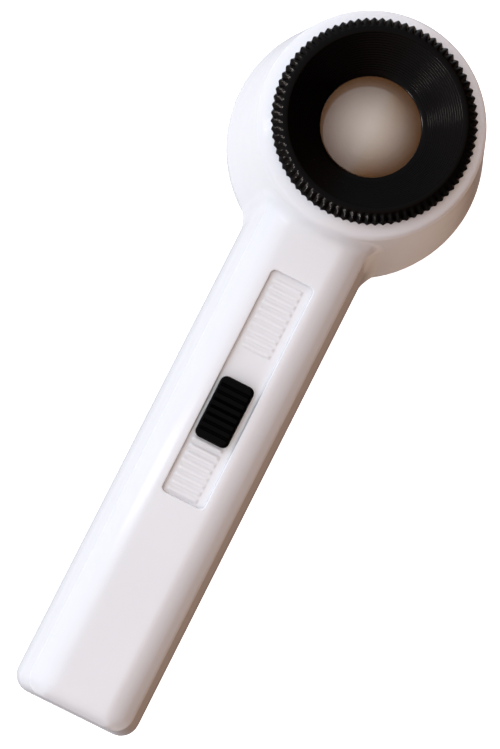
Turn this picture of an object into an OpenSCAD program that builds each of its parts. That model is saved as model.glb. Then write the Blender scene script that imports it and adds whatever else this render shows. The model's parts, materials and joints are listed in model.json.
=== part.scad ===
// Illuminated hand magnifier: a conical stand head with a focusing eyepiece,
// and a handle that holds two AA cells and a slide switch.
// Z is up along the optical axis, the page lies at z = 0, the handle runs towards -Y.

/* [Head] */
// Radius of the head where it stands on the page
head_base_r = 31.7; // [30:0.1:34]
// Radius at the top of the conical wall
head_shoulder_r = 25.9; // [25.5:0.1:27]
// Height of the top of the conical wall
head_shoulder_z = 32; // [31.5:0.1:32.5]
// Radius of the flat collar round the eyepiece
collar_r = 24.7; // [24:0.1:25.2]
// Height of the flat collar
collar_z = 34.8; // [34.4:0.1:34.9]
// Wall thickness of the head
head_wall = 1.8; // [1.5:0.1:2.2]
// Radius of the viewing opening in the base
view_r = 25.4; // [24:0.1:25.5]

/* [Handle] */
// Width of the handle at the base
handle_w = 32.2; // [32:0.1:34]
// Width of the handle where the sloping shoulders start
shoulder_w = 25.3; // [25:0.1:26.5]
// Height of the flat top of the handle
handle_z = 29.5; // [29:0.1:30.5]
// Distance from the optical axis to the end of the handle
handle_end = 153.5; // [153.5:0.5:165]
// Radius of the long top edges
edge_r = 6.8; // [6.4:0.2:7.2]
// Radius of the corners at the end, seen from above
corner_r = 5; // [4:0.5:7]
// Wall thickness of the handle
handle_wall = 1.2; // [1:0.1:1.3]

/* [Base] */
// Thickness of the base plate
plate_t = 2.4; // [2.2:0.1:2.8]
// Width of the battery door between its rails
door_w = 25.2; // [24:0.2:26]
// Length of the battery door
door_len = 58.5; // [58.5:0.5:60]

/* [Eyepiece] */
// Radius over the tips of the knurl
knurl_r = 23.1; // [22.5:0.1:23.4]
// Number of teeth in the knurl
knurl_teeth = 80; // [60:1:96]
// Depth of the teeth
knurl_depth = 0.7; // [0.4:0.1:0.9]
// Top of the eyepiece
eyepiece_z = 38; // [37.8:0.1:39]
// Inner radius of the rim, where the funnel starts
rim_r = 19.4; // [19:0.1:19.6]
// Radius at the bottom of the funnel
funnel_r = 12.5; // [12.2:0.1:13]
// Number of steps in the funnel
funnel_steps = 16; // [10:1:20]
// Radius of the clear opening over the lens
clear_r = 11.55; // [11.52:0.01:11.7]
// Radius of the threaded barrel
barrel_r = 18.4; // [18:0.1:18.6]

/* [Lens] */
// Radius of the lens
lens_r = 12.85; // [12.8:0.01:12.9]
// Radius of curvature of both faces
lens_curve_r = 24.5; // [22:0.5:30]
// Thickness of the flat flange at the edge of the lens
lens_flange_t = 3.2; // [2.8:0.1:3.2]

/* [Switch] */
// Length of the recess at its mouth
recess_len = 56.2; // [54:0.1:58]
// Width of the recess at its mouth
recess_w = 11; // [10.6:0.1:11.6]
// Depth of the recess
recess_d = 1.9; // [1.5:0.1:2]
// Length of the slide cap
knob_len = 15.1; // [14.6:0.1:15.6]
// Width of the slide cap
knob_w = 8.2; // [8:0.1:8.4]
// Travel of the slide cap
knob_travel = 5; // [4:0.1:5]
// Spacing of the moulded ribs and of the grooves in the cap
rib_pitch = 1.78; // [1.7:0.01:1.8]

/* [Battery] */
// Diameter of one AA cell
cell_d = 14; // [13.6:0.1:14]
// Length of one AA cell
cell_len = 50.5; // [49.5:0.1:50.5]

/* [Hidden] */
$fn = 96;
eps = 0.01;
gap = 0.15;          // clearance between parts that slide or drop in
white = [0.93, 0.93, 0.94];
black = [0.05, 0.05, 0.055];
steel = [0.75, 0.76, 0.78];

// Head
cone_slope = (head_base_r - 0.1 - head_shoulder_r) / (head_shoulder_z - plate_t);
sleeve_t = 1.8;
sleeve_bottom_z = 27.2;
function cone_r(z) = head_shoulder_r + (head_shoulder_z - z) * cone_slope;

// Handle
half_w = handle_w / 2;
shoulder_z = 25.7;
knee = [half_w - 0.8, 12];      // where the sides start to lean more
side_draft = 4.5;
lean = atan((knee[0] - shoulder_w / 2) / (shoulder_z - knee[1]));
end_r = 5;
end_lean = 13.5;

// Screws of the base plate: two in the head and four in the handle
head_screw_r = 28.2;
handle_screw_x = 11.2;
handle_screw_y = [-44, -90.2];
head_screws = [for (side = [-1, 1]) head_screw_r * [side * sin(45), cos(45)]];
handle_screws = [for (y = handle_screw_y, side = [-1, 1]) [side * handle_screw_x, y]];
plate_screws = concat(head_screws, handle_screws);
boss_r = 2.6;
boss_top_z = 14;
screw_r = 1.05;
pilot_r = 1.1;
screw_head_r = 2.1;
screw_head_t = 1.3;
counterbore_d = 1.4;

// Battery door
door_y = -handle_end + door_len;
door_t = 1.9;
tongue_w = 0.8;
tongue_z = [1.0, 1.6];
grip_count = 5;

// Eyepiece
ring_bottom_z = collar_z + 0.3;
bevel_r = 20.8;
bevel_z = 36.3;
bevel_foot_r = knurl_r - knurl_depth - 0.1;
funnel_z = 30.4;
barrel_bottom_z = 22.6;
seat_z = 29.5;
o_ring_z = 29.8;
o_ring_r = 0.8;
stop_t = 1.4;
stop_r = 19.7;

// Lens
dome_r = 11.5;
lens_top_z = seat_z;
lens_bottom_z = seat_z - lens_flange_t;
dome_centre = sqrt(lens_curve_r * lens_curve_r - dome_r * dome_r);

// Switch
recess_y = -66.4;
floor_z = handle_z - recess_d;
wall_run = 0.8;
track_x = -0.35;      // the cap and the ribs stand a little left of the middle
rib_w = 7.5;
rib_h = 0.35;
knob_y = -72.35;
knob_z = [floor_z + gap, 31.2];
upper_rib_y = -56.8;
upper_ribs = 10;
lower_rib_y = -93.05;
lower_ribs = 8;
stem = [2.6, 2.8];
slot_side = 0.35;
board_z = [18.5, 20.1];
board_y = [-87.5, -56];
board_w = 16;
board_screw_y = [-85.3, -58.2];
body_top_z = 24.9;
body_y = knob_y + knob_travel / 2;
pad_z = floor_z - 1.5;

// Lamp: it shines through the wall of the head towards the middle of the page
lamp_tilt = 25;
lamp_z = 14;
lamp_y = -(cone_r(lamp_z) - head_wall / 2);
led_r = 2.5;

// Batteries
cell_r = cell_d / 2;
cell_x = 7.15;
cell_z = plate_t + 0.3 + cell_r;
holder_y = [-150, -93.2];
holder_gap = 0.2;
holder_wall = 1.2;
holder_top_z = 18.4;
end_wall_top = 15;
contact_t = 0.4;
bridge_half_h = 4.2;
tab_z = cell_z + 3.5;
tab_len = 3.2;
outer_face_y = holder_y[0] + holder_wall + contact_t;
inner_face_y = holder_y[1] - holder_wall - contact_t;
spring_len = inner_face_y - outer_face_y - cell_len;
nub_len = 1.2;

// Wires, each as hand-placed points that a smooth curve passes through
wire_r = 0.6;
red_route = [[-7.2, -91.8, 14.3], [-7.2, -90.6, 17], [-6.9, -89.4, 20.4], [-6, -87.2, 22.2],
             [-5, -85.6, 20.8]];
black_route = [[7.2, -91.8, 14.3], [7.6, -90.4, 17], [9.2, -88, 20.6], [10.4, -82, 21.6],
               [10.4, -70, 21.4], [10, -58, 20.8], [6.6, -46, 19.8], [2.2, -40, 18.9],
               [1.3, -37.5, 18.2], [1.27, -35.8, 17.44]];
lamp_route = [[-5, -57.4, 20.8], [-5.2, -54.4, 21.6], [-4.6, -49, 20.8], [-2.4, -41, 19.2],
              [-1.3, -37.5, 18.2], [-1.27, -35.8, 17.44]];

// ---------------------------------------------------------------- shapes used more than once

// Points of an arc about a centre, from angle a0 to a1
function arc(centre, r, a0, a1, n = 8) =
    [for (i = [0:n]) centre + r * [cos(a0 + (a1 - a0) * i / n), sin(a0 + (a1 - a0) * i / n)]];

function unit(v) = v / norm(v);

// Smooth curve through the given points, with a few points on each span
function spline_point(p0, p1, p2, p3, t) =
    0.5 * (2 * p1 + (p2 - p0) * t + (2 * p0 - 5 * p1 + 4 * p2 - p3) * t * t
           + (3 * p1 - p0 - 3 * p2 + p3) * t * t * t);
function smooth_route(pts, n = 4) =
    concat([for (i = [0:len(pts) - 2], k = [0:n - 1])
                spline_point(pts[max(i - 1, 0)], pts[i], pts[i + 1], pts[min(i + 2, len(pts) - 1)], k / n)],
           [pts[len(pts) - 1]]);

// Round tube along a path
module tube(path, r, sides = 8, up = [0, 0.02, 1]) {
    last = len(path) - 1;
    rings = [for (i = [0:last])
        let (along = unit(path[min(i + 1, last)] - path[max(i - 1, 0)]),
             side = unit(cross(along, up)),
             top = cross(side, along))
        for (k = [0:sides - 1]) path[i] + r * (cos(360 * k / sides) * side + sin(360 * k / sides) * top)];
    walls = [for (i = [0:last - 1], k = [0:sides - 1])
        let (next = (k + 1) % sides)
        [i * sides + k, i * sides + next, (i + 1) * sides + next, (i + 1) * sides + k]];
    start = [for (k = [sides - 1:-1:0]) k];
    finish = [for (k = [0:sides - 1]) last * sides + k];
    polyhedron(points = rings, faces = concat([start], walls, [finish]), convexity = 6);
}

// Compression spring along +Y from the origin
module coil_spring(length, r0, r1, wire, turns, steps = 14) {
    n = round(turns * steps);
    path = [for (i = [0:n])
        let (r = r0 + (r1 - r0) * i / n, a = 360 * i / steps)
        [r * cos(a), wire + (length - 2 * wire) * i / n, r * sin(a)]];
    tube(path, wire, sides = 6, up = [0, 1, 0]);
}

// Upright block with rounded corners
module rounded_block(size, r, z0, z1) {
    translate([0, 0, z0])
        linear_extrude(z1 - z0)
            union() {
                square([size[0] - 2 * r, size[1]], center = true);
                square([size[0], size[1] - 2 * r], center = true);
                for (sx = [-1, 1], sy = [-1, 1])
                    translate([sx * (size[0] / 2 - r), sy * (size[1] / 2 - r)])
                        circle(r, $fn = 32);
            }
}

// Block between two corners
module block(low, high) {
    translate(low)
        cube(high - low);
}

// Places its children on the axis of the lamp, with +Z along the light
module at_lamp() {
    translate([0, lamp_y, lamp_z])
        rotate([-90 - lamp_tilt, 0, 0])
            children();
}

// ---------------------------------------------------------------- outside of the housing

// Seen from above: the straight handle with rounded end corners
module handle_plan(half_width, end, r) {
    translate([-half_width, -end + r])
        square([2 * half_width, end - r]);
    translate([-half_width + r, -end])
        square([2 * (half_width - r), r + eps]);
    for (side = [-1, 1])
        translate([side * (half_width - r), -end + r])
            circle(r, $fn = 48);
}

// The same outline with flat faces at the corners, for the walls that lean inward
module faceted_plan(half_width, end, r) {
    corner = arc([half_width - r, r - end], r, 0, -90, 4);
    mirrored = [for (i = [len(corner) - 1:-1:0]) [-corner[i][0], corner[i][1]]];
    polygon(concat([[half_width, 0]], corner, mirrored, [[-half_width, 0]]));
}

// A line of the section, held as the slope of its outward normal and its distance from the origin
function line_through(p, slope) = [slope, p[0] * cos(slope) + p[1] * sin(slope)];

function line_inset(line, inset) = [line[0], line[1] - inset];

function crossing(a, b) =
    [a[1] * sin(b[0]) - b[1] * sin(a[0]), b[1] * cos(a[0]) - a[1] * cos(b[0])] / sin(b[0] - a[0]);

// Section across the handle: leaning sides, sloping shoulders and a flat top with round edges
module handle_section(inset, low) {
    side = line_inset(line_through(knee, side_draft), inset);
    leaning = line_inset(line_through(knee, lean), inset);
    shoulder = line_inset(line_through([shoulder_w / 2, shoulder_z], 45), inset);
    top = line_inset([90, handle_z], inset);
    r = edge_r - inset;
    centre = crossing(shoulder, top) - [r * tan(22.5), r];
    half = concat([crossing([-90, -low], side), crossing(side, leaning), crossing(leaning, shoulder)],
                  arc(centre, r, 45, 90, 6));
    polygon(concat(half, [for (i = [len(half) - 1:-1:0]) [-half[i][0], half[i][1]]]));
}

// The handle, or the same shape with all its faces moved inward
module handle_solid(inset, low) {
    end_face = line_inset(line_through([0.25 - handle_end, plate_t], 180 - end_lean), inset);
    end = -crossing(end_face, [-90, -plate_t])[0];
    top = handle_z - inset;
    r = end_r - inset;
    centre = crossing(end_face, [90, top]) + [r * tan(45 - end_lean / 2), -r];
    intersection() {
        rotate([90, 0, 0])
            linear_extrude(end + 1)
                handle_section(inset, low);
        translate([0, -end, plate_t])
            rotate([-end_lean, 0, 0])
                translate([0, end, -10])
                    linear_extrude(90)
                        faceted_plan(half_w + 0.4 - inset, end + 0.3, corner_r - inset);
        translate([-half_w - 1, 0, 0])
            rotate([90, 0, 90])
                linear_extrude(2 * half_w + 2)
                    polygon(concat([crossing(end_face, [-90, -low])],
                                   arc(centre, r, 180 - end_lean, 90, 6),
                                   [[1, top], [1, low]]));
    }
}

// Cone of the head with a rounded shoulder, from the given height up
module head_cone(inset, low, roof) {
    shoulder = [[cone_r(low) - inset, low], [cone_r(head_shoulder_z) - inset, roof - 2.8],
                [collar_r + 0.75 - inset, roof - 1.1], [collar_r - inset, roof], [0, roof]];
    rotate_extrude()
        polygon(concat([[0, low]], shoulder));
}

module outer_solid() {
    head_cone(0, plate_t, collar_z);
    handle_solid(0, plate_t);
}

module inner_cavity() {
    head_cone(head_wall, plate_t - 1, collar_z - 2);
    difference() {
        handle_solid(handle_wall, plate_t - 1);
        head_cone(0, plate_t - 1.5, collar_z);
    }
}

// Recess for the switch, with sloping walls
module recess_cut() {
    mouth_z = handle_z + eps;
    intersection() {
        translate([0, recess_y + recess_len / 2 + 1, 0])
            rotate([90, 0, 0])
                linear_extrude(recess_len + 2)
                    polygon([[-recess_w / 2, mouth_z], [recess_w / 2, mouth_z],
                             [recess_w / 2 - wall_run, floor_z], [wall_run - recess_w / 2, floor_z]]);
        translate([-recess_w, recess_y, 0])
            rotate([90, 0, 90])
                linear_extrude(2 * recess_w)
                    polygon([[-recess_len / 2, mouth_z], [recess_len / 2, mouth_z],
                             [recess_len / 2 - wall_run, floor_z], [wall_run - recess_len / 2, floor_z]]);
    }
}

// Moulded ribs in the floor of the recess
module recess_ribs() {
    rows = concat([for (i = [0:upper_ribs - 1]) upper_rib_y + i * rib_pitch],
                  [for (i = [0:lower_ribs - 1]) lower_rib_y + i * rib_pitch]);
    for (y = rows)
        translate([track_x, y, floor_z])
            rotate([0, 90, 0])
                linear_extrude(rib_w, center = true)
                    polygon([[0.2, -0.6], [0.2, 0.6], [-rib_h, 0.3], [-rib_h, -0.3]]);
}

module screw_bosses() {
    for (p = plate_screws)
        translate([p[0], p[1], plate_t])
            cylinder(r = boss_r, h = boss_top_z - plate_t);
    for (p = handle_screws)
        block([min(p[0], sign(p[0]) * half_w), p[1] - 0.8, plate_t],
              [max(p[0], sign(p[0]) * half_w), p[1] + 0.8, boss_top_z]);
    for (y = board_screw_y)
        translate([0, y, board_z[1]])
            cylinder(r = 2.2, h = pad_z + 1 - board_z[1]);
}

module lamp_socket() {
    at_lamp()
        translate([0, 0, -5.4])
            cylinder(r = 6.2, h = 6);
}

// Two ribs under the roof of the handle that press on the battery holder
module holder_ribs() {
    for (side = [-1, 1])
        block([side * 8 - 0.6, holder_y[0] + 2, holder_top_z + 0.05],
              [side * 8 + 0.6, holder_y[1] - 2, handle_z - 1]);
}

module upper_housing() {
    color(white)
        difference() {
            union() {
                difference() {
                    outer_solid();
                    inner_cavity();
                }
                intersection() {
                    outer_solid();
                    union() {
                        translate([0, 0, sleeve_bottom_z])
                            cylinder(r = barrel_r + 0.05 + sleeve_t, h = collar_z - sleeve_bottom_z);
                        block([-7, recess_y - recess_len / 2 - 1.5, pad_z],
                              [7, recess_y + recess_len / 2 + 1.5, handle_z - 1]);
                        screw_bosses();
                        holder_ribs();
                        difference() {
                            lamp_socket();
                            head_cone(head_wall, plate_t - 1, collar_z - 2);
                        }
                    }
                }
            }
            difference() {
                recess_cut();
                recess_ribs();
            }
            translate([track_x, knob_y, 0])
                block([-stem[0] / 2 - slot_side, -stem[1] / 2 - slot_side, pad_z - 1],
                      [stem[0] / 2 + slot_side, stem[1] / 2 + knob_travel + slot_side, floor_z + 1]);
            translate([0, 0, sleeve_bottom_z - 1])
                cylinder(r = barrel_r + 0.05, h = 12);
            for (p = plate_screws)
                translate([p[0], p[1], plate_t - 1])
                    cylinder(r = pilot_r, h = 9.6);
            for (y = board_screw_y)
                translate([0, y, board_z[1] - 1])
                    cylinder(r = 0.85, h = 5.4);
            at_lamp() {
                translate([0, 0, -9])
                    cylinder(r = led_r + 0.2, h = 14);
                translate([0, 0, -9])
                    cylinder(r = 4.7, h = 7.1);
            }
        }
}

// ---------------------------------------------------------------- base

module plate_outline(h) {
    linear_extrude(h)
        union() {
            circle(head_base_r);
            handle_plan(half_w, handle_end, corner_r);
        }
}

module door_rails_cut() {
    half = door_w / 2 + gap;
    block([-half, -handle_end - 1, -1], [half, door_y, plate_t + 1]);
    block([-half - tongue_w, -handle_end - 1, tongue_z[0] - 0.1],
          [half + tongue_w, door_y - 3, tongue_z[1] + 0.1]);
}

// Upstand that locates the plate inside the walls of the housing
module locating_rib() {
    difference() {
        union() {
            translate([0, 0, plate_t - 0.2])
                difference() {
                    cylinder(r = 29.1, h = 2.2);
                    translate([0, 0, -1])
                        cylinder(r = 27.6, h = 5);
                }
            for (side = [-1, 1])
                block([side * 13.75 - 0.55, -84, plate_t - 0.2], [side * 13.75 + 0.55, -50, plate_t + 2]);
        }
        for (p = head_screws)
            translate([p[0], p[1], 0])
                cylinder(r = boss_r + 0.3, h = 10);
    }
}

module base_plate() {
    color(white)
        difference() {
            union() {
                plate_outline(plate_t);
                locating_rib();
            }
            translate([0, 0, -1])
                cylinder(r = view_r, h = 10);
            door_rails_cut();
            for (p = plate_screws)
                translate([p[0], p[1], 0]) {
                    translate([0, 0, -1])
                        cylinder(r = 1.3, h = 6);
                    translate([0, 0, -1])
                        cylinder(r = screw_head_r + 0.25, h = counterbore_d + 1);
                }
        }
}

module battery_door() {
    half = door_w / 2;
    color(white)
        difference() {
            intersection() {
                translate([0, 0, 0.1])
                    plate_outline(plate_t);
                union() {
                    block([-half, -handle_end, 0.1], [half, door_y - gap, door_t]);
                    block([-half - tongue_w + 0.1, -handle_end, tongue_z[0]],
                          [half + tongue_w - 0.1, door_y - 3.2, tongue_z[1]]);
                }
            }
            for (i = [0:grip_count - 1])
                translate([0, -handle_end + 5 + i * 1.8, 0.1])
                    rotate([0, 90, 0])
                        cylinder(r = 0.45, h = 14, center = true, $fn = 24);
        }
}

module housing_screws() {
    color(steel)
        for (p = plate_screws)
            translate([p[0], p[1], 0.08])
                difference() {
                    union() {
                        cylinder(r = screw_head_r, h = screw_head_t);
                        cylinder(r = screw_r, h = 10);
                    }
                    for (a = [0, 90])
                        rotate([0, 0, a])
                            translate([-1.2, -0.25, -eps])
                                cube([2.4, 0.5, 0.8]);
                }
}

// ---------------------------------------------------------------- eyepiece

// Half section of the eyepiece: rim, stepped funnel, lens seat and barrel
module eyepiece_section() {
    step_r = (rim_r - funnel_r) / funnel_steps;
    step_z = (eyepiece_z - 0.4 - funnel_z) / funnel_steps;
    steps = [for (i = [0:funnel_steps - 1], edge = [0, 1])
                 [rim_r - (i + edge) * step_r, eyepiece_z - 0.4 - (i + 0.5 + edge * 0.2) * step_z]];
    groove = arc([barrel_r + 0.2, o_ring_z], o_ring_r + 0.05, 270, 90, 10);
    groove_side = [for (p = groove) if (p[0] <= barrel_r) p];
    polygon(concat(
        [[rim_r, eyepiece_z - 0.1], [rim_r + 0.1, eyepiece_z], [bevel_r, eyepiece_z],
         [bevel_foot_r, bevel_z], [bevel_foot_r, ring_bottom_z], [barrel_r, ring_bottom_z]],
        [for (i = [len(groove_side) - 1:-1:0]) groove_side[i]],
        [[barrel_r, barrel_bottom_z + 1.6], [16.4, barrel_bottom_z + 1.6], [16.4, barrel_bottom_z],
         [lens_r + 0.05, barrel_bottom_z], [lens_r + 0.05, seat_z], [clear_r, seat_z],
         [clear_r, funnel_z - 0.4], [funnel_r, funnel_z]],
        [for (i = [len(steps) - 1:-1:0]) steps[i]]));
}

module knurl_band() {
    pitch = 360 / knurl_teeth;
    outline = [for (i = [0:knurl_teeth - 1], half = [0, 1])
                   let (r = half == 0 ? knurl_r : knurl_r - knurl_depth, a = (i + half / 2) * pitch)
                   r * [cos(a), sin(a)]];
    translate([0, 0, ring_bottom_z])
        linear_extrude(bevel_z - ring_bottom_z)
            difference() {
                polygon(outline);
                circle(rim_r + 0.6);
            }
}

module focus_ring() {
    color(black)
        union() {
            rotate_extrude()
                eyepiece_section();
            knurl_band();
        }
}

module lens() {
    color([0.8, 0.9, 0.95, 0.4])
        rotate_extrude()
            difference() {
                union() {
                    translate([0, lens_bottom_z])
                        square([lens_r, lens_flange_t]);
                    for (side = [-1, 1])
                        intersection() {
                            translate([0, (lens_top_z + lens_bottom_z) / 2
                                          + side * (lens_flange_t / 2 - dome_centre)])
                                circle(lens_curve_r, $fn = 180);
                            translate([0, side > 0 ? lens_top_z - 0.1 : lens_bottom_z - 9.9])
                                square([dome_r, 10]);
                        }
                }
                translate([-50, 0])
                    square([50, 60]);
            }
}

module ring(r_out, r_in, z0, z1) {
    translate([0, 0, z0])
        difference() {
            cylinder(r = r_out, h = z1 - z0);
            translate([0, 0, -1])
                cylinder(r = r_in, h = z1 - z0 + 2);
        }
}

module lens_retainer() {
    color(black)
        difference() {
            ring(lens_r, dome_r + 0.1, lens_bottom_z - 2, lens_bottom_z);
            for (a = [0, 180])
                rotate([0, 0, a])
                    block([dome_r - 0.5, -0.6, lens_bottom_z - 2.5],
                          [lens_r + 0.5, 0.6, lens_bottom_z - 1.2]);
        }
}

module focus_o_ring() {
    color([0.08, 0.08, 0.08])
        rotate_extrude()
            difference() {
                translate([barrel_r + 0.2, o_ring_z])
                    circle(o_ring_r, $fn = 32);
                translate([barrel_r + 0.03, o_ring_z - 2])
                    square([3, 4]);
            }
}

module focus_stop_ring() {
    color(black)
        ring(stop_r, 16.45, barrel_bottom_z, barrel_bottom_z + stop_t);
}

// ---------------------------------------------------------------- switch

module switch_knob() {
    grooves = 7;
    color(black)
        translate([track_x, knob_y, 0])
            difference() {
                rounded_block([knob_w, knob_len], 1.5, knob_z[0], knob_z[1]);
                for (i = [0:grooves - 1])
                    translate([0, (i - (grooves - 1) / 2) * rib_pitch, knob_z[1] + 0.25])
                        rotate([0, 90, 0])
                            cylinder(r = 0.6, h = knob_w + 2, center = true, $fn = 24);
                block([-stem[0] / 2 - 0.03, -stem[1] / 2 - 0.03, knob_z[0] - 1],
                      [stem[0] / 2 + 0.03, stem[1] / 2 + 0.03, 29.9]);
            }
}

module switch_actuator() {
    color([0.85, 0.84, 0.8])
        translate([track_x, knob_y, 0])
            union() {
                block([-2.7, -2.8, 22.5], [2.7, 2.8, 23.9]);
                block([-stem[0] / 2, -stem[1] / 2, 23.8], [stem[0] / 2, stem[1] / 2, 29.85]);
            }
}

module switch_contact() {
    color("goldenrod")
        translate([track_x, knob_y, 0])
            union() {
                block([-2.2, -2.6, 22.2], [2.2, 2.6, 22.48]);
                for (y = [-2.2, 0.5])
                    block([-2, y, 21.35], [2, y + 1.7, 22.3]);
            }
}

module switch_body() {
    color([0.15, 0.15, 0.16])
        difference() {
            block([track_x - 4.2, body_y - 8, board_z[1]], [track_x + 4.2, body_y + 8, body_top_z]);
            block([track_x - 3, body_y - 6.6, 20.95], [track_x + 3, body_y + 6.6, 24.05]);
            block([track_x - stem[0] / 2 - 0.2, knob_y - stem[1] / 2 - 0.3, 23],
                  [track_x + stem[0] / 2 + 0.2, knob_y + stem[1] / 2 + knob_travel + 0.3, 26]);
            for (i = [-1:1])
                translate([track_x, body_y + i * 4.6, 18])
                    cylinder(r = 0.55, h = 4);
        }
}

module switch_terminals() {
    color("goldenrod")
        for (i = [-1:1])
            translate([track_x, body_y + i * 4.6, 17])
                union() {
                    cylinder(r = 0.5, h = 4);
                    translate([0, 0, 3.97])
                        cylinder(r = 1.2, h = 0.3);
                }
}

module switch_board() {
    color([0.1, 0.35, 0.2])
        difference() {
            block([-board_w / 2, board_y[0], board_z[0]], [board_w / 2, board_y[1], board_z[1]]);
            for (y = board_screw_y)
                translate([0, y, board_z[0] - 1])
                    cylinder(r = 1, h = 4);
            for (i = [-1:1])
                translate([track_x, body_y + i * 4.6, board_z[0] - 1])
                    cylinder(r = 0.6, h = 4);
            for (x = [3.6, 7.2])
                translate([x, -60, board_z[0] - 1])
                    cylinder(r = 0.35, h = 4);
        }
}

module board_screws() {
    color(steel)
        for (y = board_screw_y)
            translate([0, y, board_z[0] - 1.2])
                difference() {
                    union() {
                        cylinder(r = 1.6, h = 1.2);
                        cylinder(r = 0.75, h = 6.4);
                    }
                    translate([-1.2, -0.2, -eps])
                        cube([2.4, 0.4, 0.6]);
                }
}

module resistor() {
    color([0.75, 0.68, 0.5])
        union() {
            translate([3.9, -60, 17.3])
                rotate([0, 90, 0])
                    cylinder(r = 0.9, h = 3);
            for (x = [3.6, 7.2])
                translate([x, -60, 17])
                    cylinder(r = 0.28, h = 3.6, $fn = 24);
            translate([3.4, -60, 17.3])
                rotate([0, 90, 0])
                    cylinder(r = 0.25, h = 4, $fn = 24);
        }
}

// ---------------------------------------------------------------- lamp

module led() {
    color([0.95, 0.97, 1.0, 0.6])
        at_lamp()
            union() {
                translate([0, 0, -5.2])
                    cylinder(r = 2.9, h = 1);
                translate([0, 0, -4.6])
                    cylinder(r = led_r, h = 5.5);
                translate([0, 0, 0.9])
                    sphere(r = led_r);
                for (side = [-1, 1])
                    translate([side * 1.27, 0, -8])
                        cylinder(r = 0.25, h = 3, $fn = 24);
            }
}

module led_holder() {
    color([0.1, 0.1, 0.1])
        at_lamp()
            ring(4.65, led_r + 0.05, -4.15, -1.95);
}

// ---------------------------------------------------------------- batteries

module battery_holder() {
    color([0.2, 0.2, 0.21])
        difference() {
            intersection() {
                block([-half_w, holder_y[0], plate_t + 0.1], [half_w, holder_y[1], holder_top_z]);
                handle_solid(handle_wall + holder_gap, 0);
            }
            for (side = [-1, 1])
                translate([side * cell_x, holder_y[1] - holder_wall, cell_z])
                    rotate([90, 0, 0])
                        cylinder(r = cell_r + 0.15, h = holder_y[1] - holder_y[0] - 2 * holder_wall);
            block([-15, holder_y[0] + holder_wall, 0], [15, holder_y[1] - holder_wall, cell_z]);
            block([-15, holder_y[0] - 1, end_wall_top], [15, outer_face_y, holder_top_z + 1]);
            block([-cell_x, holder_y[0] + holder_wall, cell_z - 1],
                  [cell_x, outer_face_y, cell_z + bridge_half_h + 0.1]);
            for (side = [-1, 1])
                block([side * 13 - 3, holder_y[0] - 1, 0], [side * 13 + 3, holder_y[0] + 4, 6]);
            for (side = [-1, 1])
                block([side * cell_x - 1.3, holder_y[1] - 2, tab_z - 0.1],
                      [side * cell_x + 1.3, holder_y[1] + 1, tab_z + contact_t + 0.1]);
        }
}

// One cell along +Y from the origin, with its positive end at +Y
module cell() {
    rotate([-90, 0, 0])
        union() {
            cylinder(r = cell_r, h = cell_len - nub_len);
            cylinder(r = 2.7, h = cell_len);
        }
}

module battery_left() {
    color([0.25, 0.3, 0.38])
        translate([-cell_x, outer_face_y + spring_len, cell_z])
            cell();
}

module battery_right() {
    color([0.25, 0.3, 0.38])
        translate([cell_x, inner_face_y - spring_len, cell_z])
            mirror([0, 1, 0])
                cell();
}

// Contact plate on the inner end wall, with a tab for its wire
module inner_plate(x) {
    y = inner_face_y;
    union() {
        block([x - 4.5, y, cell_z - 4.5], [x + 4.5, y + contact_t, cell_z + 4.5]);
        block([x - 1.1, y, tab_z], [x + 1.1, y + tab_len, tab_z + contact_t]);
    }
}

module positive_plate() {
    color(steel)
        inner_plate(-cell_x);
}

module negative_plate() {
    color(steel)
        inner_plate(cell_x);
}

module bridge_plate() {
    color(steel)
        block([-cell_x - 4.5, outer_face_y - contact_t, cell_z - bridge_half_h],
              [cell_x + 4.5, outer_face_y, cell_z + bridge_half_h]);
}

module negative_spring() {
    color(steel)
        translate([cell_x, inner_face_y, cell_z])
            mirror([0, 1, 0])
                coil_spring(spring_len, 4.2, 2.4, 0.35, 3);
}

module bridge_spring() {
    color(steel)
        translate([-cell_x, outer_face_y, cell_z])
            coil_spring(spring_len, 4.2, 2.4, 0.35, 3);
}

// ---------------------------------------------------------------- wires

module red_wire() {
    color([0.75, 0.08, 0.06])
        tube(smooth_route(red_route), wire_r);
}

module black_wire() {
    color([0.06, 0.06, 0.06])
        tube(smooth_route(black_route), wire_r);
}

module lamp_wire() {
    color([0.85, 0.75, 0.2])
        tube(smooth_route(lamp_route), wire_r);
}

upper_housing();
base_plate();
battery_door();
focus_ring();
lens();
lens_retainer();
focus_o_ring();
focus_stop_ring();
switch_knob();
switch_actuator();
switch_contact();
switch_body();
switch_terminals();
switch_board();
board_screws();
resistor();
led();
led_holder();
battery_holder();
battery_left();
battery_right();
positive_plate();
negative_plate();
negative_spring();
bridge_plate();
bridge_spring();
red_wire();
black_wire();
lamp_wire();
housing_screws();
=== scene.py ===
"""Looks of an illuminated hand magnifier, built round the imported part.

Lengths in the shape functions are millimetres in the part's frame; MM turns them into metres.
"""

import json
import math

import bmesh
import bpy
import numpy as np
from mathutils import Matrix, Vector


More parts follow.
